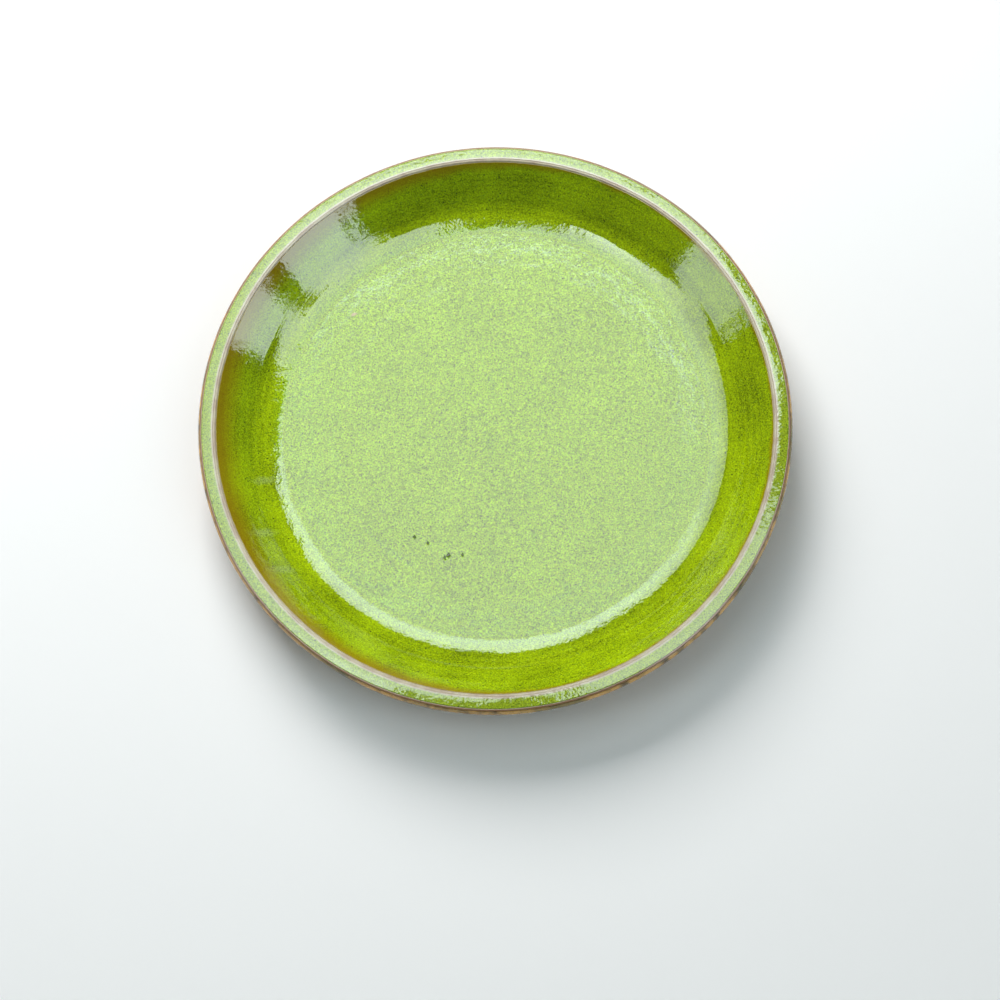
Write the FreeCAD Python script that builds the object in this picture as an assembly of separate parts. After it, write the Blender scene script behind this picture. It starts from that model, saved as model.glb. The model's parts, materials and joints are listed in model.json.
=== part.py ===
"""Glazed earthenware serving plate, thrown on a wheel: a wide flat well, a steep side and a narrow lip.

The fired clay is one piece, foot ring included. A coat of white slip lies over the well, the side and
the lip, and it makes the green glaze above it bright. The glaze draws back from both edges of the lip,
so it forms one skin in the well and another on the flat of the lip, and the slip comes to the
surface at the edges. The outside has glaze on bare clay. The foot and the base are left unglazed.

Every piece is a round of revolution about +Z. One outline describes the finished plate, the coats are
bands just inside that outline, and the clay is what is left. The origin is at the centre of the foot's
resting face, and the foot stands on z = 0. Millimetres.
"""

import FreeCAD
import Part
import math
import os

# Driving dimensions
rim_radius = 150.0  # widest, on the outside of the lip
rim_height = 35.0  # bench to the corner of the lip's inner edge, before that edge is rounded
well_depth = 21.0  # inner edge of the lip down to the middle of the well
clay_thickness = 7.2  # floor and side, coats included
side_slope = math.radians(45)  # above the bench
side_fillet = 16.0  # inside radius of the tight turn up into the side
lip_width = 7.4  # between the two edges of the lip
lip_overhang = 1.5  # from the outer edge to the widest point
slip_thickness = 0.3
glaze_thickness = 0.6
foot_radius = 92.0  # outside of the foot ring
foot_width = 6.5
bare_clay_height = 9.8  # the outside glaze stops this far above the bench

# Lip details, as drops below the inner edge
inner_edge_fillet = 1.7
lip_bend_place = 0.42  # share of the way across, where the lip starts to fall away faster
lip_bend_drop = 0.07
lip_bend_fillet = 25.0
outer_edge_drop = 0.25
outer_edge_fillet = 1.6
lip_side_drop = 3.0
lip_side_length = 3.0  # upright stretch at the widest point
lip_side_fillet = 2.0
lip_bottom_drop = 7.1
lip_bottom_inset = 1.4
lip_bottom_fillet = 0.9
lip_bottom_rise = 1.0  # the lip's underside climbs this much from the side to its outer corner
lip_root_fillet = 3.0

# Floor and foot details
crease_slope = math.radians(6.5)  # the floor stops being level at a faint crease
crease_length = 4.5  # from the crease to the corner of the gentle turn
crease_fillet = 8.0
turn_slope = math.radians(11)  # the edge of the floor lifts this much before the tight turn
turn_length = 9.0  # between the corners of the gentle turn and the tight one
turn_fillet = 100.0
outside_fillet = 27.0  # under the tight turn
foot_taper = 1.6  # each face of the foot ring leans this much
foot_fillet = 1.3
foot_root_fillet = 2.5

# Where the coats stop, measured back from the edges of the lip
well_glaze_stop = 1.3
lip_glaze_stop = 1.1
slip_overlap = 0.3  # the slip rounds the outer edge by this much

# Worked out from the dimensions above
floor_height = rim_height - well_depth
base_height = floor_height - clay_thickness
outer_edge = rim_radius - lip_overhang
inner_edge = outer_edge - lip_width
crease_rise = crease_length * math.sin(crease_slope)
turn_rise = crease_rise + turn_length * math.sin(turn_slope)
side_foot = inner_edge - (well_depth - turn_rise) / math.tan(side_slope)
turn_radius = side_foot - turn_length * math.cos(turn_slope)
level_radius = turn_radius - crease_length * math.cos(crease_slope)
thickness_shift = math.tan(side_slope / 2)  # how far a corner moves out for each mm further down
outside_foot = inner_edge - well_depth / math.tan(side_slope) + clay_thickness * thickness_shift
past_axis = -20.0  # outlines start beyond the axis so that the coats reach it
clear = 40.0  # far enough to be outside the plate


def point(radius, height):
    return FreeCAD.Vector(radius, 0, height)


def rounded_face(corners):
    """A flat face on the XZ plane. Each corner is (radius, height, fillet), and fillet 0 is sharp."""
    places = [point(radius, height) for radius, height, fillet in corners]
    pieces = []
    for i, (radius, height, fillet) in enumerate(corners):
        here = places[i]
        if fillet == 0:
            pieces.append((here, None, here))
            continue
        back = (places[i - 1] - here).normalize()
        ahead = (places[(i + 1) % len(places)] - here).normalize()
        half_angle = back.getAngle(ahead) / 2
        run = fillet / math.tan(half_angle)
        to_centre = (back + ahead).normalize()
        middle = here + to_centre * (fillet / math.sin(half_angle) - fillet)
        pieces.append((here + back * run, middle, here + ahead * run))
    edges = []
    for i, (start, middle, end) in enumerate(pieces):
        edges.append(Part.LineSegment(pieces[i - 1][2], start).toShape())
        if middle is not None:
            edges.append(Part.Arc(start, middle, end).toShape())
    return Part.Face(Part.Wire(edges))


def sharp_face(corners):
    return rounded_face([(radius, height, 0) for radius, height in corners])


def plate_section():
    """The finished plate cut through its middle, coats included."""
    lip_side = rim_height - lip_side_drop
    underside = rim_height - lip_bottom_drop
    root_height = underside - lip_bottom_rise
    root = outside_foot + (root_height - base_height) / math.tan(side_slope)
    foot_inside = foot_radius - foot_width
    return rounded_face([
        (past_axis, base_height, 0),
        (foot_inside - foot_taper, base_height, foot_root_fillet),
        (foot_inside, 0, foot_fillet),
        (foot_radius, 0, foot_fillet),
        (foot_radius + foot_taper, base_height, foot_root_fillet),
        (outside_foot, base_height, outside_fillet),
        (root, root_height, lip_root_fillet),
        (rim_radius - lip_bottom_inset, underside, lip_bottom_fillet),
        (rim_radius, lip_side - lip_side_length, lip_bottom_fillet),
        (rim_radius, lip_side, lip_side_fillet),
        (outer_edge, rim_height - outer_edge_drop, outer_edge_fillet),
        (inner_edge + lip_bend_place * lip_width, rim_height - lip_bend_drop, lip_bend_fillet),
        (inner_edge, rim_height, inner_edge_fillet),
        (side_foot, floor_height + turn_rise, side_fillet),
        (turn_radius, floor_height + crease_rise, turn_fillet),
        (level_radius, floor_height, crease_fillet),
        (past_axis, floor_height, 0),
    ])


def half_plane():
    """Everything on the outer side of the axis."""
    return sharp_face([(0, -clear), (rim_radius + clear, -clear),
                       (rim_radius + clear, rim_height + clear), (0, rim_height + clear)])


def well_reach():
    """The part of the section that the well's glaze may cover: floor and side, up to near the edge."""
    middle = floor_height - clay_thickness / 2
    up_the_side = point(math.cos(side_slope), math.sin(side_slope))
    off_the_side = point(-math.sin(side_slope), math.cos(side_slope))
    stop = point(inner_edge, rim_height) - up_the_side * well_glaze_stop
    inner = stop - off_the_side * clay_thickness / 2
    outer = stop + off_the_side * clear
    return sharp_face([(past_axis, middle), (outside_foot, middle), (inner.x, inner.z),
                       (outer.x, outer.z), (past_axis, outer.z)])


def lip_reach():
    """The part that the lip's glaze may cover: the flat between the two edges."""
    start, stop = inner_edge + lip_glaze_stop, outer_edge - lip_glaze_stop
    low, high = rim_height - lip_side_drop, rim_height + clear
    return sharp_face([(start, low), (stop, low), (stop, high), (start, high)])


def slip_reach():
    """The part that the slip may cover: the whole inside, the lip, and just round its outer edge."""
    middle = floor_height - clay_thickness / 2
    heart = point((inner_edge + outer_edge) / 2, rim_height - lip_side_drop)
    edge = point(outer_edge + slip_overlap, rim_height - outer_edge_drop - slip_overlap)
    far = heart + (edge - heart).normalize() * clear
    return sharp_face([(past_axis, middle), (outside_foot, middle), (heart.x, heart.z),
                       (far.x, far.z), (past_axis, far.z)])


def outside_reach():
    """The part that the outside glaze may cover: from the slip's end down to the bare clay."""
    band = sharp_face([(foot_radius, bare_clay_height), (rim_radius + clear, bare_clay_height),
                       (rim_radius + clear, rim_height), (foot_radius, rim_height)])
    return band.cut(slip_reach())


def plate_pieces():
    """Flat sections of the five pieces, which meet face to face and fill the plate's outline."""
    plate = plate_section()
    glaze_band = plate.cut(plate.makeOffset2D(-glaze_thickness))
    coat_band = plate.cut(plate.makeOffset2D(-glaze_thickness - slip_thickness))
    well_glaze = glaze_band.common(well_reach())
    lip_glaze = glaze_band.common(lip_reach())
    outside_glaze = glaze_band.common(outside_reach())
    white_slip = coat_band.common(slip_reach()).cut([well_glaze, lip_glaze])
    clay_body = plate.cut([white_slip, well_glaze, lip_glaze, outside_glaze])
    return {
        "clay_body": clay_body,
        "white_slip": white_slip,
        "well_glaze": well_glaze,
        "lip_glaze": lip_glaze,
        "outside_glaze": outside_glaze,
    }


def turned(section):
    """The section spun round the axis into one closed solid."""
    half = section.common(half_plane())
    solid = half.Faces[0].revolve(FreeCAD.Vector(0, 0, 0), FreeCAD.Vector(0, 0, 1), 360)
    return solid.removeSplitter()


os.makedirs("parts", exist_ok=True)
for node, section in plate_pieces().items():
    piece = turned(section)
    box = piece.optimalBoundingBox()
    print(f"{node}: valid {piece.isValid()}, solids {len(piece.Solids)}, volume {piece.Volume:.0f} mm3, "
          f"width {box.XLength:.1f}, height {box.ZMin:.1f} to {box.ZMax:.1f}")
    piece.exportStep(f"parts/{node}.step")
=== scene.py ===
import json
import math

import bmesh
import bpy
from mathutils import Matrix, Vector


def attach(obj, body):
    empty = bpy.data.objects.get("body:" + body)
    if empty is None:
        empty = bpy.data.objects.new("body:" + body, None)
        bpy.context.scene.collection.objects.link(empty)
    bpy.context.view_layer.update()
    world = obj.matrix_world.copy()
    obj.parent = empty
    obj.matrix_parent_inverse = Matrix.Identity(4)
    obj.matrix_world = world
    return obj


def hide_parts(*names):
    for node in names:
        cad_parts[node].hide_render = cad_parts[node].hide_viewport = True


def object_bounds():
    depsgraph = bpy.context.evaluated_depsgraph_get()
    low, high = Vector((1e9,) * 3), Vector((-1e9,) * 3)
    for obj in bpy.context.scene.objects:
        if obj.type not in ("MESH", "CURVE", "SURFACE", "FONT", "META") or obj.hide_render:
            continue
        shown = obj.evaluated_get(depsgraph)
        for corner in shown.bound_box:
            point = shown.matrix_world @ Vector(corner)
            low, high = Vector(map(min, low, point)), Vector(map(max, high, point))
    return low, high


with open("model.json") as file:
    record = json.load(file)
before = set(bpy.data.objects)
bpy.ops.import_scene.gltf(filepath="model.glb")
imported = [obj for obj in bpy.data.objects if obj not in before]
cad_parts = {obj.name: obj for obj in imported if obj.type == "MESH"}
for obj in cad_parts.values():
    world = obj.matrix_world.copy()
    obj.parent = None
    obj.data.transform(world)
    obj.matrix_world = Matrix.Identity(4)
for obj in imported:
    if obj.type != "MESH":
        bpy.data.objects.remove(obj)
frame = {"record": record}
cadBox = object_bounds()
mm = 0.001
print("frame loaded")


# A wire is a node's output. Sums and products of wires add Math nodes to its tree.
class Wire:
    def __init__(self, tree, node, output):
        self.tree, self.node = tree, node
        self.socket = node.outputs[output] if node.outputs else None

    def math(self, operation, *others):
        return self.tree.add("ShaderNodeMath", {"operation": operation}, [self, *others])

    def __add__(self, other):
        return self.math("ADD", other)

    def __sub__(self, other):
        return self.math("SUBTRACT", other)

    def __rsub__(self, other):
        return self.tree.add("ShaderNodeMath", {"operation": "SUBTRACT"}, [other, self])

    def __mul__(self, other):
        return self.math("MULTIPLY", other)

    def __truediv__(self, other):
        return self.math("DIVIDE", other)

    def __rtruediv__(self, other):
        return self.tree.add("ShaderNodeMath", {"operation": "DIVIDE"}, [other, self])

    def __pow__(self, other):
        return self.math("POWER", other)

    __radd__ = __add__
    __rmul__ = __mul__

    def out(self, output):
        return Wire(self.tree, self.node, output)


class Tree:
    def __init__(self, nodeTree):
        self.nodeTree = nodeTree

    def add(self, kind, settings=None, sockets=None, output=0):
        node = self.nodeTree.nodes.new(kind)
        for name, value in (settings or {}).items():
            if name == "stops":
                self.setStops(node, value)
            else:
                setattr(node, name, value)
        sockets = sockets or {}
        pairs = sockets.items() if isinstance(sockets, dict) else enumerate(sockets)
        for name, value in pairs:
            if isinstance(value, Wire):
                self.nodeTree.links.new(value.socket, node.inputs[name])
            else:
                node.inputs[name].default_value = value
        return Wire(self, node, output)

    def setStops(self, node, stops):
        ramp = node.color_ramp
        while len(ramp.elements) < len(stops):
            ramp.elements.new(0.5)
        for element, (place, value) in zip(ramp.elements, stops):
            element.position = place
            element.color = (value, value, value, 1)

    # shorthands for the nodes that come up most
    def smooth(self, value, low, high):
        return self.add("ShaderNodeMapRange", {"interpolation_type": "SMOOTHSTEP"},
                        {"Value": value, "From Min": low, "From Max": high})

    def noise(self, vector, scale, detail=2.0, roughness=0.5, distortion=0.0):
        return self.add("ShaderNodeTexNoise", {}, {
            "Vector": vector, "Scale": scale, "Detail": detail, "Roughness": roughness,
            "Distortion": distortion})

    def mixColour(self, factor, first, second):
        # sockets 6 and 7 and output 2 are the Mix node's colours
        return self.add("ShaderNodeMix", {"data_type": "RGBA"}, {0: factor, 6: first, 7: second}, 2)

    def vector(self, operation, sockets, output=0):
        return self.add("ShaderNodeVectorMath", {"operation": operation}, sockets, output)

    def join(self, x, y, z):
        return self.add("ShaderNodeCombineXYZ", {}, [x, y, z])

    def split(self, vector):
        node = self.add("ShaderNodeSeparateXYZ", {}, [vector])
        return node, node.out(1), node.out(2)


mounts = {mount["name"]: mount for mount in frame["record"]["mounts"]}
wellFloor = mounts["well_floor"]["pos_m"][2] / mm

# The plate's outline in millimetres. It starts in the middle of the well, goes out over the lip and
# comes back underneath.
plate = {
    "rimRadius": cadBox[1].x / mm,
    "rimHeight": cadBox[1].z / mm + 0.03,  # corner of the inner edge, before it is rounded
    "floor": wellFloor,
    "thickness": 7.2,
    "slope": math.radians(45),
    "sideFillet": 16.0,
    "creaseSlope": math.radians(6.5),  # the floor stops being level at a faint crease
    "creaseLength": 4.5,
    "creaseFillet": 8,
    "turnSlope": math.radians(11),  # and lifts a little more before the tight turn
    "turnLength": 9.0,
    "turnFillet": 100,
    "lipWidth": 7.4,
    "lipOverhang": 1.5,  # how far the widest part stands out beyond the outer edge
    "innerEdgeFillet": 1.7,
    "lipBend": 0.42,  # the lip falls away faster from here on, as a share of its width
    "lipBendDrop": 0.05,
    "lipBendFillet": 25,
    "outerEdgeDrop": 0.17,
    "outerEdgeFillet": 1.6,
    "bandTop": 3.0,  # the upright band outside the lip: its ends, measured down from the top
    "bandFoot": 6.0,
    "bandTopFillet": 2,
    "bandFillet": 0.9,
    "tuck": 1.4,  # how far the outline tucks in below the band
    "tuckDrop": 7.1,
    "rootDrop": 8.1,  # where the straight outside of the wall starts
    "rootFillet": 3,
    "outsideFillet": 27.0,
    "footRadius": 92.0,
    "footWidth": 6.5,
    "footTaper": 1.6,
    "footRootFillet": 2.5,
    "footEdgeFillet": 1.3,
}


def plateCorners():
    # (radius, height, radius of the fillet)
    p = plate
    rim, top = p["rimRadius"], p["rimHeight"]
    outer = rim - p["lipOverhang"]
    inner = outer - p["lipWidth"]
    base = p["floor"] - p["thickness"]
    turnFoot = p["floor"] + p["creaseLength"] * math.sin(p["creaseSlope"])
    turnTop = turnFoot + p["turnLength"] * math.sin(p["turnSlope"])
    sideFoot = inner - (top - turnTop) / math.tan(p["slope"])
    turn = sideFoot - p["turnLength"] * math.cos(p["turnSlope"])
    crease = turn - p["creaseLength"] * math.cos(p["creaseSlope"])
    wallShift = p["thickness"] * math.tan(p["slope"] / 2)
    outsideFoot = inner - (top - p["floor"]) / math.tan(p["slope"]) + wallShift
    root = outsideFoot + (top - p["rootDrop"] - base) / math.tan(p["slope"])
    footInside = p["footRadius"] - p["footWidth"]
    return [
        (0, p["floor"], 0),
        (crease, p["floor"], p["creaseFillet"]),
        (turn, turnFoot, p["turnFillet"]),
        (sideFoot, turnTop, p["sideFillet"]),
        (inner, top, p["innerEdgeFillet"]),
        (inner + p["lipBend"] * p["lipWidth"], top - p["lipBendDrop"], p["lipBendFillet"]),
        (outer, top - p["outerEdgeDrop"], p["outerEdgeFillet"]),
        (rim, top - p["bandTop"], p["bandTopFillet"]),
        (rim, top - p["bandFoot"], p["bandFillet"]),
        (rim - p["tuck"], top - p["tuckDrop"], p["bandFillet"]),
        (root, top - p["rootDrop"], p["rootFillet"]),
        (outsideFoot, base, p["outsideFillet"]),
        (p["footRadius"] + p["footTaper"], base, p["footRootFillet"]),
        (p["footRadius"], 0, p["footEdgeFillet"]),
        (footInside, 0, p["footEdgeFillet"]),
        (footInside - p["footTaper"], base, p["footRootFillet"]),
        (0, base, 0),
    ]


finest = 0.1  # the outline is walked in steps this long


def roundCorners(corners):
    # the outline as closely spaced points, straight runs joined by arcs
    line = []
    for i, (radius, height, fillet) in enumerate(corners):
        here = Vector((radius, height))
        if fillet == 0:
            line.append(here)
            continue
        back = (Vector(corners[i - 1][:2]) - here).normalized()
        ahead = (Vector(corners[i + 1][:2]) - here).normalized()
        half = back.angle(ahead) / 2
        run = fillet / math.tan(half)
        centre = here + (back + ahead).normalized() * fillet / math.sin(half)
        start, end = here + back * run - centre, here + ahead * run - centre
        turn = start.angle_signed(end)  # clockwise is positive
        count = max(2, int(abs(turn) * fillet / finest))
        for k in range(count + 1):
            angle = -turn * k / count
            line.append(centre + Matrix.Rotation(angle, 2) @ start)
    return line


# How far apart the mesh's rows are, as (out to this radius, step): wide on the flat and close where
# the surface turns.
rowSteps = {
    "inside": [(106, 2.0), (111, 0.45), (128, 0.75), (999, 0.85)],
    "underneath": [(80, 3.0), (118, 1.0), (128, 0.4), (140, 1.0), (999, 3.0)],
    "lip": 0.34,
    "lipDepth": 9.5,
}


def stepAt(point):
    radius, height = point
    if height > plate["rimHeight"] - rowSteps["lipDepth"]:
        return rowSteps["lip"]
    side = "underneath" if height < plate["floor"] - 3 else "inside"
    return next(step for limit, step in rowSteps[side] if radius < limit)


def spacedRows(line):
    # rows along the outline: place, tangent and distance from the well's middle
    rows = [(line[0], 0.0)]
    across, since = 0.0, 0.0
    for start, end in zip(line, line[1:]):
        length = (end - start).length
        pieces = max(1, int(length / finest))
        for k in range(1, pieces + 1):
            place = start.lerp(end, k / pieces)
            across += length / pieces
            since += length / pieces
            last = end is line[-1] and k == pieces
            if since >= stepAt(place) or last:
                if last and since < 0.5 * stepAt(place):
                    rows.pop()
                rows.append((place, across))
                since = 0.0
    result = []
    for i, (place, across) in enumerate(rows):
        before = rows[max(0, i - 1)][0]
        after = rows[min(len(rows) - 1, i + 1)][0]
        tangent = (after - before).normalized()
        if place.x == 0:
            tangent = Vector((1 if i == 0 else -1, 0))
        result.append({"place": place, "across": across, "tangent": tangent,
                       "outward": Vector((-tangent.y, tangent.x))})
    return result


outline = spacedRows(roundCorners(plateCorners()))


def acrossNear(radius, height):
    spot = Vector((radius, height))
    return min(outline, key=lambda row: (row["place"] - spot).length)["across"]


lipOuter = plate["rimRadius"] - plate["lipOverhang"]
innerEdge = acrossNear(lipOuter - plate["lipWidth"], plate["rimHeight"])
outerEdge = acrossNear(lipOuter, plate["rimHeight"] - plate["outerEdgeDrop"])
glazeLine = acrossNear(124, 9.8)  # where the outside glaze ends, above the foot
print(f"outline: {len(outline)} rows, inner edge {innerEdge:.1f}, outer edge {outerEdge:.1f}, "
      f"glaze line {glazeLine:.1f}, all {outline[-1]['across']:.1f}")

# The coats: where each starts and stops across the outline, how deep it is, and over what length it
# thins out at its ends.
coats = {
    "wellGlaze": {
        "start": 0.0,
        "stop": innerEdge - 0.6,
        "depth": 0.6,
        "fadeIn": 0.0,
        "fadeOut": 3.5,
    },
    "lipGlaze": {
        "start": innerEdge + 0.8,
        "stop": outerEdge - 0.7,
        "depth": 0.6,
        "fadeIn": 2.0,
        "fadeOut": 2.0,
    },
    "outsideGlaze": {
        "start": outerEdge + 0.5,
        "stop": glazeLine,
        "depth": 0.55,
        "fadeIn": 1.6,
        "fadeOut": 0.0,
    },
    "whiteSlip": {
        "start": 0.0,
        "stop": outerEdge + 0.6,
        "depth": 0.3,
        "fadeIn": 0.0,
        "fadeOut": 1.2,
    },
}
glazes = ["wellGlaze", "lipGlaze", "outsideGlaze"]
glazeRoll = 0.9  # the glaze ends above the foot in a rounded roll this wide
bareRecess = 6.0  # below the roll the clay comes back out to the outline over this far
thinnest = 0.02  # no coat is thinner than this, so that its mesh stays closed
hiddenSlip = 8.0  # the slip's top is out of sight further than this from the inner edge


def rounded(share):
    share = min(1.0, max(0.0, share))
    return math.sqrt(1 - (1 - share) ** 2)


def depthAt(name, across):
    coat = coats[name]
    if not coat["start"] <= across <= coat["stop"]:
        return 0.0
    rise = rounded((across - coat["start"]) / coat["fadeIn"]) if coat["fadeIn"] else 1.0
    fall = rounded((coat["stop"] - across) / coat["fadeOut"]) if coat["fadeOut"] else 1.0
    return coat["depth"] * min(rise, fall)


def glazeDepth(across):
    return sum(depthAt(name, across) for name in glazes)


def clayDepth(across):
    if across > glazeLine:
        recess = max(0.0, 1 - (across - glazeLine) / bareRecess)
        return coats["outsideGlaze"]["depth"] * recess ** 1.5
    return glazeDepth(across) + depthAt("whiteSlip", across)


def wanderAt(across):
    # the lip's two colour lines and the glaze line above the foot wander a little as they go round
    near = max(math.exp(-((across - edge) / width) ** 2)
               for edge, width in ((innerEdge, 3), (outerEdge, 3), (glazeLine, 9)))
    return near * (3.0 if abs(across - glazeLine) < 30 else 1.0)


def rowAt(row, depth):
    return {**row, "place": row["place"] - row["outward"] * depth}


def thinned(rows, hidden):
    # every third row is enough where nothing shows
    last = len(rows) - 1
    return [row for i, row in enumerate(rows)
            if i % 3 == 0 or i == last or not hidden(row["across"])]


def coatRows(name):
    # once along the top of the coat and back along its underside
    coat = coats[name]
    rows = [row for row in outline if coat["start"] <= row["across"] <= coat["stop"]]
    slip = name == "whiteSlip"
    under = glazeDepth if slip else lambda across: 0.0
    top = []
    for row in thinned(rows, lambda across: slip and across < innerEdge - hiddenSlip):
        sink = under(row["across"])
        if name == "outsideGlaze":
            sink += coat["depth"] * (1 - rounded((coat["stop"] - row["across"]) / glazeRoll))
        top.append(rowAt(row, sink))
    below = []
    for row in thinned(rows, lambda across: True):
        # the outside glaze keeps its depth right down to its roll
        full = coat["depth"] if name == "outsideGlaze" and row["across"] > coat["start"] + 5 else 0
        depth = max(depthAt(name, row["across"]), full, thinnest)
        below.append(rowAt(row, under(row["across"]) + depth))
    chain = top + below[::-1]
    if coat["start"] > 0:
        chain.append(top[0])
    return chain


def clayRows():
    def covered(across):
        return across < outerEdge - 1 or outerEdge + 4 < across < glazeLine - 3

    return [rowAt(row, clayDepth(row["across"])) for row in thinned(outline, covered)]


def rowMesh(name, rows):
    # one vertex for each row, with what the turning tree needs to know about it
    mesh = bpy.data.meshes.new(name)
    mesh.from_pydata([(row["place"].x * mm, 0, row["place"].y * mm) for row in rows],
                     [(i, i + 1) for i in range(len(rows) - 1)], [])
    outwards = [row["outward"] for row in rows]
    wanders = [row["tangent"] * wanderAt(row["across"]) for row in rows]
    facts = {
        "outward": ("FLOAT_VECTOR", "vector", [(outward.x, 0, outward.y) for outward in outwards]),
        "along": ("FLOAT_VECTOR", "vector", [(wander.x, 0, wander.y) for wander in wanders]),
        "across": ("FLOAT", "value", [row["across"] for row in rows]),
    }
    for fact, (kind, field, values) in facts.items():
        layer = mesh.attributes.new(fact, kind, "POINT")
        for item, value in zip(layer.data, values):
            setattr(item, field, value)
    return mesh


# The wheel is a geometry tree that turns a chain of rows into a closed, slightly uneven round.
wheel = {
    "Segments": 512,
    "Oval": 0.006,  # share of the radius that it is out of round
    "Oval Turn": math.radians(-51),
    "Warp": 0.3 * mm,  # rise and fall of the lip
    "Swell": 0.13 * mm,  # slow unevenness of every surface
    "Swell Size": 34 * mm,
    "Ring Depth": 0.045 * mm,  # marks of the fingers
    "Ring Spacing": 5.5,
    "Wander": 0.22 * mm,
    "Wander Size": 9 * mm,
    "Seed": 4.0,
}


def wheelTree():
    group = bpy.data.node_groups.new("turned on the wheel", "GeometryNodeTree")
    face = group.interface
    face.new_socket(name="Rows", in_out="INPUT", socket_type="NodeSocketGeometry")
    for name in wheel:
        kind = "NodeSocketInt" if name == "Segments" else "NodeSocketFloat"
        face.new_socket(name=name, in_out="INPUT", socket_type=kind)
    face.new_socket(name="Finish", in_out="INPUT", socket_type="NodeSocketMaterial")
    face.new_socket(name="Turned", in_out="OUTPUT", socket_type="NodeSocketGeometry")
    t = Tree(group)
    given = t.add("NodeGroupInput")
    size = {name: given.out(name) for name in wheel}

    # a flat grid: one way along the rows, the other way round the axis
    rowCount = t.add("GeometryNodeAttributeDomainSize", {"component": "MESH"}, {0: given})
    grid = t.add("GeometryNodeMeshGrid", {}, {
        "Size X": 1.0, "Size Y": 1.0, "Vertices X": rowCount, "Vertices Y": size["Segments"] + 1})
    gridX, gridY, _ = t.split(t.add("GeometryNodeInputPosition"))
    rowIndex = t.add("ShaderNodeMath", {"operation": "ROUND"}, [(gridX + 0.5) * (rowCount - 1)])
    angle = (gridY + 0.5) * (2 * math.pi)

    def fromRow(value, kind):
        return t.add("GeometryNodeSampleIndex", {"data_type": kind, "domain": "POINT"},
                     {"Geometry": given, "Value": value, "Index": rowIndex})

    def rowValue(name, kind):
        return t.add("GeometryNodeInputNamedAttribute", {"data_type": kind}, {"Name": name})

    radius, _, height = t.split(fromRow(t.add("GeometryNodeInputPosition"), "FLOAT_VECTOR"))
    outX, _, outZ = t.split(fromRow(rowValue("outward", "FLOAT_VECTOR"), "FLOAT_VECTOR"))
    alongX, _, alongZ = t.split(fromRow(rowValue("along", "FLOAT_VECTOR"), "FLOAT_VECTOR"))
    across = fromRow(rowValue("across", "FLOAT"), "FLOAT")
    cosine, sine = angle.math("COSINE"), angle.math("SINE")

    # slow swells and finger rings push the surface in and out, but not where the foot stands
    spot = t.join(radius * cosine + size["Seed"], radius * sine, height)
    swell = (t.noise(spot, 1 / size["Swell Size"], 1.0) - 0.5) * size["Swell"] * 2
    sway = t.smooth(radius, 0.0, 20 * mm) * 0.35  # none on the axis, so that the pole closes
    ringSpot = t.join(across / size["Ring Spacing"], cosine * sway, sine * sway + size["Seed"])
    rings = (t.noise(ringSpot, 1.0, 1.0) - 0.5) * size["Ring Depth"] * 2
    push = (swell + rings) * t.smooth(height, 0.3 * mm, 6 * mm)
    wanderSpot = t.join(cosine * 0.15, sine * 0.15, size["Seed"])
    wander = (t.noise(wanderSpot, 1 / size["Wander Size"], 3.0) - 0.5) * size["Wander"] * 2
    newRadius = radius + outX * push + alongX * wander
    newHeight = height + outZ * push + alongZ * wander

    # the whole round is a little oval, and the lip rises and falls
    oval = ((angle - size["Oval Turn"]) * 2).math("COSINE") * size["Oval"] + 1
    share = height / (plate["rimHeight"] * mm) * (radius / (plate["rimRadius"] * mm)) ** 2
    warp = ((angle * 2 + 1.0).math("COSINE") + (angle * 3 + 2.4).math("COSINE") * 0.5) * share
    place = t.join(newRadius * oval * cosine, newRadius * oval * sine, newHeight + warp * size["Warp"])

    named = t.add("GeometryNodeStoreNamedAttribute", {"data_type": "FLOAT", "domain": "POINT"},
                  {"Geometry": grid, "Name": "across", "Value": across})
    turned = t.add("GeometryNodeSetPosition", {}, {"Geometry": named, "Position": place})
    closed = t.add("GeometryNodeMergeByDistance", {}, {"Geometry": turned, "Distance": 0.001 * mm})
    smooth = t.add("GeometryNodeSetShadeSmooth", {}, {"Geometry": closed, "Shade Smooth": True})
    whole = t.add("GeometryNodeRealizeInstances", {}, {"Geometry": smooth})
    finished = t.add("GeometryNodeSetMaterial", {}, {"Geometry": whole, "Material": given.out("Finish")})
    t.add("NodeGroupOutput", {}, {0: finished})
    return group


wheelGroup = wheelTree()


def turnPiece(name, rows, finish):
    piece = bpy.data.objects.new(name, rowMesh(name + "Rows", rows))
    bpy.context.scene.collection.objects.link(piece)
    turning = piece.modifiers.new("wheel", "NODES")
    turning.node_group = wheelGroup
    inputs = [item for item in wheelGroup.interface.items_tree if item.in_out == "INPUT"]
    sockets = {item.name: item.identifier for item in inputs}
    for inputName, value in wheel.items():
        turning[sockets[inputName]] = value
    turning[sockets["Finish"]] = finish
    graph = bpy.context.evaluated_depsgraph_get()
    mesh = bpy.data.meshes.new_from_object(
        piece.evaluated_get(graph), preserve_all_data_layers=True, depsgraph=graph)
    piece.modifiers.remove(turning)
    piece.data = mesh
    mesh.name = name
    work = bmesh.new()
    work.from_mesh(mesh)
    if work.calc_volume(signed=True) < 0:
        bmesh.ops.reverse_faces(work, faces=work.faces)
    openEdges = sum(1 for edge in work.edges if len(edge.link_faces) != 2)
    triangles = sum(len(face.verts) - 2 for face in work.faces)
    work.to_mesh(mesh)
    work.free()
    print(f"{name}: {triangles} triangles, {openEdges} open edges")
    return piece


def newFinish(name):
    material = bpy.data.materials.new(name)
    material.use_nodes = True
    material.node_tree.nodes.clear()
    return material, Tree(material.node_tree)


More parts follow.
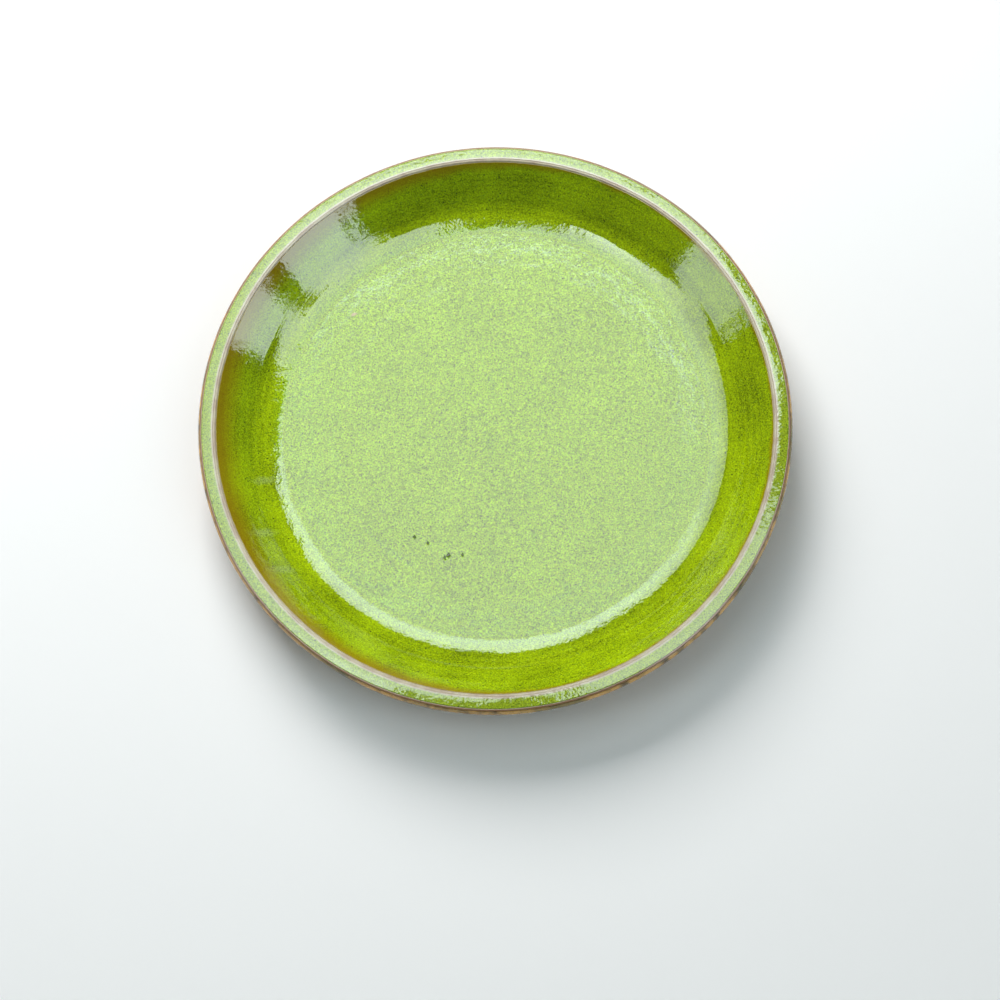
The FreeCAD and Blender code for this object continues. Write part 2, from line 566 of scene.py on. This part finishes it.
def place(t):
    # where a point is, in millimetres, and how far across the outline it lies
    spot = t.vector("SCALE", {0: t.add("ShaderNodeTexCoord", output=3), "Scale": 1 / mm})
    across = t.add("ShaderNodeAttribute", {"attribute_name": "across"}, output=2)
    return spot, across


def specks(t, spot, spacing, size):
    # dots of mixed sizes: small balls at random places, cut by the surface
    cells = t.add("ShaderNodeTexVoronoi", {}, {"Vector": spot, "Scale": 1 / spacing})
    return t.smooth(cells * spacing, size, size * 0.45)


def blob(t, spot, centre, size):
    # 1 in the middle of an oval mark in the well, 0 at its edge
    offset = t.vector("SUBTRACT", [spot, (*centre, 0)])
    offset = t.vector("DIVIDE", [offset, (*size, 1000)])
    return t.smooth(t.vector("LENGTH", [offset], 1), 1.0, 0.15)


def tinted(t, colour, factor):
    return t.vector("SCALE", {0: colour, "Scale": factor})


def surface(t, material, colour, roughness, height, gloss):
    # height is in millimetres, gloss is the index of refraction
    bump = t.add("ShaderNodeBump", {}, {"Height": height, "Distance": mm})
    shader = t.add("ShaderNodeBsdfPrincipled", {}, {
        "Base Color": colour, "Roughness": roughness, "Normal": bump, "IOR": gloss})
    t.add("ShaderNodeOutputMaterial", {}, {"Surface": shader})
    return material


green = {
    "pool": (0.258, 0.445, 0.007, 1),  # deep on the floor of the well
    "side": (0.305, 0.425, 0.002, 1),
    "lip": (0.285, 0.385, 0.020, 1),
    "bright": (0.430, 0.540, 0.012, 1),
    "deep": (0.105, 0.235, 0.018, 1),
    # the iron dots, and also the painted shade inside the pits
    "speck": (0.030, 0.042, 0.008, 1),
    "amber": (0.310, 0.165, 0.003, 1),
    "smear": (0.420, 0.520, 0.200, 1),
    "bare": (0.62, 0.42, 0.30, 1),
    "mottleSize": 0.75,
    "mottle": 2.1,
    "wellMottle": 0.9,  # this much more on the floor
    "darkest": 0.15,  # the mottling goes no darker than this
    "cloudSize": 24.0,
    "clouds": 0.35,
    "sideClouds": 0.6,
    "brightShare": 0.45,  # flecks of a brighter and a deeper green
    "deepShare": 0.4,
    "dotShare": 0.9,
    "sideStart": 106,  # across the outline, where the floor's colour gives way to the side's
    "sideFull": 118,
    # rings round the side along the throwing marks, lighter and darker: painted reflection of their
    # ridges
    "throwLineGleam": 0.75,
    "throwSpacing": 2.3,
    "throwLength": 70,
    "amberWidth": 2.0,  # how far the amber reaches down the side from the inner edge
    "amberMore": 14,  # and how much further on the side where it runs
    "ripple": 0.07,  # how far the ripples rise and fall
    "rippleSize": 5.0,
    "fineRipple": 0.012,
    "gloss": 1.8,
    # pinholes in the well: sunk in the bump and painted dark, painted shade in the holes
    "shadedPits": [(-50, -48), (-44, -52), (-35, -61), (-28, -62), (-37, -62)],
    "pitSize": (0.9, 1.5),
    "pitDepth": 0.3,
    "runs": [(11, -34), (25, -49), (10, -61), (-13, -65), (-7, -80), (20, -86), (3, 25), (-4, -8)],
    "runSize": (2.8, 11),
    "runStrength": 0.3,
    "smears": [(-120, -4), (-125, -33), (-119, -54)],
    "smearSize": (9, 3.2),
    "smearStrength": 0.35,
    "chip": (-61, 77),
    "chipSize": (2.4, 1.6),
}
slip = {
    "cream": (0.570, 0.500, 0.360, 1),
    "pink": (0.480, 0.380, 0.280, 1),
    "edge": (0.300, 0.160, 0.070, 1),
    "gloss": 1.6,
}


def creamColour(t, spot):
    colour = t.mixColour(t.smooth(t.noise(spot, 1 / 9, 3.0), 0.38, 0.62), slip["cream"], slip["pink"])
    return tinted(t, colour, 1 + (t.noise(spot, 1.2, 2.0) - 0.5) * 0.35)


def greenGlaze(name, thinInside, thinOutside, inWell):
    # thinInside and thinOutside: where the glaze starts to thin and where only cream is left
    material, t = newFinish(name)
    spot, across = place(t)
    x, y, _ = t.split(spot)
    g = green
    wobble = t.add("ShaderNodeTexNoise", {}, {"Vector": spot, "Scale": 0.25}, 1)
    crooked = t.vector("ADD", [spot, t.vector("SCALE", {0: wobble, "Scale": 3.0})])
    crooked = t.vector("SUBTRACT", [crooked, (1.5, 1.5, 1.5)])

    def blobs(places, size):
        together = sum((blob(t, crooked, middle, size) for middle in places), start=across * 0)
        return together.math("MINIMUM", 1.0)

    clouds = t.noise(spot, 1 / g["cloudSize"], 3.0) - 0.5
    grain = t.noise(spot, 1 / g["mottleSize"], 1.0) - 0.5
    toneAndGleam = 1 + clouds * g["clouds"] + grain * g["mottle"]
    if inWell:
        onSide = t.smooth(across, g["sideStart"], g["sideFull"])
        colour = t.mixColour(onSide, g["pool"], g["side"])
        # lighter and darker rings along the throwing marks on the side: painted reflection of the
        # ridges, added to the random tone
        lineSpot = t.join(across / g["throwSpacing"], x / g["throwLength"], y / g["throwLength"])
        toneAndGleam = toneAndGleam + (t.noise(lineSpot, 1.0, 2.0) - 0.5) * onSide * g["throwLineGleam"]
        toneAndGleam = toneAndGleam + clouds * onSide * g["sideClouds"]
        toneAndGleam = (toneAndGleam + grain * (1 - onSide) * g["wellMottle"]).math("MAXIMUM", g["darkest"])
        runs = blobs(g["runs"], g["runSize"]) * g["runStrength"]
        colour = t.mixColour(runs, colour, g["deep"])
        smears = blobs(g["smears"], g["smearSize"]) * g["smearStrength"]
        colour = t.mixColour(smears, colour, g["smear"])
    else:
        colour = g["lip"]
    bright = t.smooth(t.noise(spot, 1.1, 2.0), 0.53, 0.66)
    colour = t.mixColour(bright * g["brightShare"], colour, g["bright"])
    deep = t.smooth(t.noise(t.vector("ADD", [spot, (40, 0, 0)]), 0.9, 2.0), 0.54, 0.68)
    colour = t.mixColour(deep * g["deepShare"], colour, g["deep"])
    colour = tinted(t, colour, toneAndGleam)
    # iron in the clay shows as fine dots
    dots = (specks(t, spot, 4.2, 0.55) + specks(t, spot, 2.3, 0.3) * 0.6).math("MINIMUM", 1.0)
    colour = t.mixColour(dots * g["dotShare"], colour, g["speck"])
    # where the glaze runs thin it turns amber and then cream
    wear = (t.noise(spot, 1 / 2.2, 3.0) - 0.5) * 1.6
    if inWell:
        leftSide = t.smooth(y * 0.25 - x, -60, 150)
        reach = leftSide * g["amberMore"] + g["amberWidth"] + (t.noise(spot, 1 / 18, 2.0) - 0.5) * 9
        amber = t.smooth(across + wear, reach * -1 + (innerEdge - 1), innerEdge - 0.5)
        colour = t.mixColour(amber * 0.8, colour, g["amber"])
    cream = t.smooth(across + wear * 0.4, *thinInside)
    if thinOutside:
        cream = cream.math("MAXIMUM", t.smooth(across + wear * 0.5, *thinOutside))
    colour = t.mixColour(cream, colour, creamColour(t, spot))
    height = (t.noise(spot, 1 / g["rippleSize"], 2.0) - 0.5) * g["ripple"]
    height = height + (t.noise(spot, 0.8, 1.0) - 0.5) * g["fineRipple"]
    if inWell:
        shadedPits = blobs(g["shadedPits"], g["pitSize"])
        # the pits are painted the dark speck colour: painted shade in the holes, besides their depth in
        # the bump
        colour = t.mixColour(shadedPits, colour, g["speck"])
        colour = t.mixColour(blobs([g["chip"]], g["chipSize"]) * 0.8, colour, g["bare"])
        height = height - shadedPits * g["pitDepth"]
    roughness = t.smooth(t.noise(spot, 0.4, 2.0), 0.3, 0.8) * 0.05 + 0.03
    return surface(t, material, colour, roughness, height, g["gloss"])


honey = {
    "thin": (0.660, 0.360, 0.080, 1),
    "thick": (0.120, 0.075, 0.018, 1),
    "olive": (0.085, 0.100, 0.018, 1),
    "speck": (0.02, 0.015, 0.01, 1),
    "streakSize": 7,
    "patchSize": 32,
    "ripple": 0.12,
    "fineRipple": 0.03,
    "gloss": 1.55,
}


def honeyGlaze(name):
    # a thin amber glaze straight on the red clay, darker and greener where it is thick
    material, t = newFinish(name)
    spot, across = place(t)
    x, y, z = t.split(spot)
    streaks = t.noise(t.join(x, y, z * 0.25), 1 / honey["streakSize"], 3.0)
    thick = t.smooth(streaks + t.smooth(across, outerEdge + 4, glazeLine) * 0.25, 0.42, 0.72)
    colour = t.mixColour(thick, honey["thin"], honey["thick"])
    patches = t.smooth(t.noise(spot, 1 / honey["patchSize"], 2.0), 0.48, 0.62)
    colour = t.mixColour(patches * 0.7, colour, honey["olive"])
    colour = tinted(t, colour, 1 + (t.noise(spot, 0.9, 2.0) - 0.5) * 0.7)
    colour = t.mixColour(specks(t, spot, 4.0, 0.5) * 0.8, colour, honey["speck"])
    roughness = t.smooth(streaks, 0.3, 0.8) * 0.15 + 0.08
    height = (t.noise(spot, 1 / 5, 2.0) - 0.5) * honey["ripple"]
    height = height + (t.noise(spot, 0.8, 2.0) - 0.5) * honey["fineRipple"]
    return surface(t, material, colour, roughness, height, honey["gloss"])


def creamSlip(name):
    material, t = newFinish(name)
    spot, across = place(t)
    browned = t.smooth(across, outerEdge - 1.0, outerEdge - 0.2)
    colour = t.mixColour(browned, creamColour(t, spot), slip["edge"])
    height = (t.noise(spot, 0.9, 3.0) - 0.5) * 0.03
    roughness = t.noise(spot, 0.5, 2.0) * 0.2 + 0.05
    return surface(t, material, colour, roughness, height, slip["gloss"])


clay = {
    "red": (0.420, 0.175, 0.082, 1),
    "pale": (0.520, 0.265, 0.150, 1),
    "dark": (0.255, 0.100, 0.050, 1),
    "grit": (0.70, 0.55, 0.42, 1),
    "iron": (0.06, 0.03, 0.02, 1),
    "toolDepth": 0.25,
    "toolSpacing": 1.1,
    "toolLength": 45,
    "grain": 0.12,
    "gritHeight": 0.06,
    "gloss": 1.45,
}


def redClay(name):
    # bare fired clay: marks of the turning tool, grit and a little bloom
    material, t = newFinish(name)
    spot, across = place(t)
    x, y, _ = t.split(spot)
    length = clay["toolLength"]
    marks = t.noise(t.join(across / clay["toolSpacing"], x / length, y / length), 1.0, 2.0)
    bloom = t.smooth(t.noise(spot, 1 / 22, 3.0), 0.38, 0.64)
    colour = t.mixColour(bloom, clay["red"], clay["pale"])
    colour = t.mixColour(t.smooth(marks, 0.5, 0.75) * 0.4, colour, clay["dark"])
    colour = tinted(t, colour, 1 + (t.noise(spot, 1.3, 3.0) - 0.5) * 0.5)
    grit = specks(t, spot, 3.4, 0.55)
    colour = t.mixColour(grit * 0.6, colour, clay["grit"])
    iron = specks(t, t.vector("ADD", [spot, (31, 17, 5)]), 4.6, 0.6)
    colour = t.mixColour(iron * 0.8, colour, clay["iron"])
    height = (marks - 0.5) * clay["toolDepth"] + (t.noise(spot, 1.1, 4.0) - 0.5) * clay["grain"]
    height = height + grit * clay["gritHeight"]
    roughness = t.noise(spot, 0.3, 2.0) * 0.2 + 0.72
    return surface(t, material, colour, roughness, height, clay["gloss"])


finishes = {
    "wellGlaze": greenGlaze("green well glaze", (innerEdge - 1.1, innerEdge - 0.4), None, True),
    "lipGlaze": greenGlaze("green lip glaze", (innerEdge + 2.4, innerEdge + 1.3),
                           (outerEdge - 0.9, outerEdge - 0.5), False),
    "outsideGlaze": honeyGlaze("honey outside glaze"),
    "whiteSlip": creamSlip("cream slip"),
    "clayBody": redClay("red clay"),
}
print("finishes mixed")

# each turned piece: the node that it stands for, and its material slot
turned = {
    "wellGlaze": ("well_glaze", "well_glaze"),
    "lipGlaze": ("lip_glaze", "lip_glaze"),
    "outsideGlaze": ("outside_glaze", "outside_glaze"),
    "whiteSlip": ("white_slip", "slip"),
    "clayBody": ("clay_body", "terracotta"),
}
for name, (node, slot) in turned.items():
    rows = clayRows() if name == "clayBody" else coatRows(name)
    piece = turnPiece(name, rows, finishes[name])
    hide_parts(node)
    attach(piece, "root")

# the camera, the bench and the light
view = {
    "middle": Vector((0, 0, 30)) * mm,
    "aim": Vector((-4.2, -41.8, 30)) * mm,
    "distance": 0.95,
    "elevation": math.radians(72.06),
    "roll": math.radians(12),
    "lens": 67.56,
    "sensor": 36,
}
bench = {"size": 6.0, "colour": (0.975, 0.96, 0.945, 1)}
sky = {
    # The flat of the well mirrors the sky round this direction. Everything else in it is placed by
    # the angle round that direction and the degrees away from it.
    "middle": (0, 0.299, 0.954),
    # how far the bright sky reaches, by angle
    "reach": [(-180, 30), (-174, 34), (-171, 80), (-163, 80), (-159, 50), (-151, 40), (-147, 34),
              (-143, 24), (-134, 24), (-129, 29), (-122, 28), (-119, 12.5), (-108, 12), (-102, 9),
              (-91, 9), (-86, 22), (-72, 26), (-65, 80), (-29, 80), (-26, 7.5), (-12, 8.5),
              (-6, 10.5), (4, 12), (28, 12.5), (33, 17.5), (42, 14.5), (116, 14), (140, 20),
              (180, 28)],
    # close to the horizon only some windows are bright: (angle, 0 dark to 1 bright)
    "low": [(-180, 1), (-162, 1), (-160, 0), (-65, 0), (-62, 1), (-34, 1), (-17, 1), (-14, 0),
            (177, 0), (180, 1)],
    "horizon": (74, 76),
    # a dark band through them: its angle, how far that leans and half its width
    "gap": (-51, 0.185, 3.2),
    "gapEnd": (18, 13),  # it closes between these, towards the middle
    "gapClosing": 9,
    # the edge of the bright sky is torn: this far round, growing between the first two numbers from
    # the third
    "tear": 16.0,
    "tearGrowth": (12, 30, 0.2),
    "tearScale": 20.0,
    # and this far in and out: more for each degree away, and at least
    "ragged": (0.13, 0.5),
    "raggedScale": 16.0,
    # brightness: of the patch in the middle, of a ring round it and of the rest, by angle
    "overhead": 2.9,
    "ring": [(-180, 3.2), (-90, 3.3), (-24, 3.0), (-8, 3.6), (2, 4.8), (90, 5.5), (112, 5.4),
             (130, 4.3), (150, 3.2), (180, 3.2)],
    "rest": [(-180, 2.2), (-162, 2.6), (-146, 3.9), (-140, 5.2), (-128, 5.6), (-118, 3.2),
             (-70, 3.4), (-60, 3.9), (-34, 3.4), (0, 3.6), (90, 4.0), (120, 3.2), (135, 2.1),
             (180, 1.9)],
    "ringStart": (6.2, 7.4),
    "restStart": (9, 16),
    "surroundings": 0.03,
    "blue": (0.86, 1.0, 1.03),
    "mattShare": 0.43,  # matt surfaces get this much of it, so that the reflections stay strong
    "shown": (0.97, 0.97, 0.97, 1),  # what is seen beyond the bench
}
lamp = {"direction": (-0.13, 0.75, 0.64), "distance": 1.5, "size": 0.9, "power": 25}


def makeBench():
    mesh = bpy.data.meshes.new("bench")
    half = bench["size"] / 2
    corners = [(-half, -half, 0), (half, -half, 0), (half, half, 0), (-half, half, 0)]
    mesh.from_pydata(corners, [], [(0, 1, 2, 3)])
    top = bpy.data.objects.new("bench", mesh)
    bpy.context.scene.collection.objects.link(top)
    material, t = newFinish("pale bench")
    shader = t.add("ShaderNodeBsdfPrincipled", {}, {"Base Color": bench["colour"], "Roughness": 0.9})
    t.add("ShaderNodeOutputMaterial", {}, {"Surface": shader})
    mesh.materials.append(material)


def makeCamera():
    camera = bpy.data.objects.new("camera", bpy.data.cameras.new("camera"))
    bpy.context.scene.collection.objects.link(camera)
    camera.data.lens = view["lens"]
    camera.data.sensor_width = view["sensor"]
    up = view["elevation"]
    camera.location = view["middle"] + Vector((0, -math.cos(up), math.sin(up))) * view["distance"]
    turn = (view["aim"] - camera.location).to_track_quat("-Z", "Y")
    camera.rotation_mode = "QUATERNION"
    camera.rotation_quaternion = turn @ Matrix.Rotation(-view["roll"], 3, "Z").to_quaternion()
    bpy.context.scene.camera = camera


def makeSky():
    world = bpy.data.worlds.new("soft light")
    world.use_nodes = True
    world.node_tree.nodes.clear()
    t = Tree(world.node_tree)
    direction = t.add("ShaderNodeTexCoord")
    middle = Vector(sky["middle"])
    across = t.vector("DOT_PRODUCT", [direction, (1, 0, 0)], 1)
    beyond = t.vector("DOT_PRODUCT", [direction, (0, middle.z, -middle.y)], 1)
    away = t.vector("DOT_PRODUCT", [direction, middle], 1).math("ARCCOSINE") * (180 / math.pi)
    bearing = beyond.math("ARCTAN2", across) / (2 * math.pi) + 0.5

    def byAngle(stops, bearing):
        most = max(value for angle, value in stops)
        places = [((angle + 180) / 360, value / most) for angle, value in stops]
        return t.add("ShaderNodeValToRGB", {"stops": places}, [bearing]) * most

    growStart, growEnd, least = sky["tearGrowth"]
    tear = (t.smooth(away, growStart, growEnd) + least) * (sky["tear"] / 360)
    tornBearing = bearing + (t.noise(direction, sky["tearScale"], 3.0) - 0.5) * tear
    raggedMore, raggedLeast = sky["ragged"]
    raggedSpot = t.vector("ADD", [direction, (3, 0, 0)])
    ragged = t.noise(raggedSpot, sky["raggedScale"], 3.0) - 0.5
    ragged = ragged * (away * raggedMore + raggedLeast)
    bright = t.smooth(byAngle(sky["reach"], tornBearing) - away + ragged, -0.5, 0.5)
    low = t.smooth(byAngle(sky["low"], tornBearing), 0.4, 0.6)
    bright = bright + t.smooth(away, *sky["horizon"]) * (low - bright)
    gapAngle, gapLean, gapHalf = sky["gap"]
    fromGap = ((tornBearing - 0.5) * 360 - away * gapLean - gapAngle).math("ABSOLUTE")
    fromGap = fromGap + t.smooth(away, *sky["gapEnd"]) * sky["gapClosing"]
    bright = bright * t.smooth(fromGap, gapHalf - 0.5, gapHalf + 0.5)
    inRing = t.smooth(away, *sky["ringStart"])
    further = t.smooth(away, *sky["restStart"])
    ring = byAngle(sky["ring"], bearing)
    level = inRing * (ring - sky["overhead"]) + sky["overhead"]
    level = level + further * (byAngle(sky["rest"], bearing) - ring)
    level = bright * (level - sky["surroundings"]) + sky["surroundings"]
    tint = t.mixColour(inRing, (1, 1, 1, 1), (*sky["blue"], 1))
    eye = t.add("ShaderNodeLightPath")
    share = eye.out("Is Glossy Ray") * (1 - sky["mattShare"]) + sky["mattShare"]
    lit = t.add("ShaderNodeBackground", {}, {"Color": tint, "Strength": level * share})
    shown = t.add("ShaderNodeBackground", {}, {"Color": sky["shown"]})
    both = t.add("ShaderNodeMixShader", {}, [eye, lit, shown])
    t.add("ShaderNodeOutputWorld", {}, {"Surface": both})
    bpy.context.scene.world = world


def makeLamp():
    # one big soft lamp on the far side, which isn't mirrored in the gloss
    light = bpy.data.lights.new("soft lamp", "AREA")
    light.size = lamp["size"]
    light.energy = lamp["power"]
    holder = bpy.data.objects.new("soft lamp", light)
    bpy.context.scene.collection.objects.link(holder)
    direction = Vector(lamp["direction"]).normalized()
    holder.location = direction * lamp["distance"]
    holder.rotation_euler = direction.to_track_quat("Z", "Y").to_euler()
    holder.visible_glossy = False
    holder.visible_camera = False


makeBench()
makeCamera()
makeSky()
makeLamp()
bpy.context.scene.view_settings.view_transform = "Standard"
print("bench, camera, sky and lamp set")
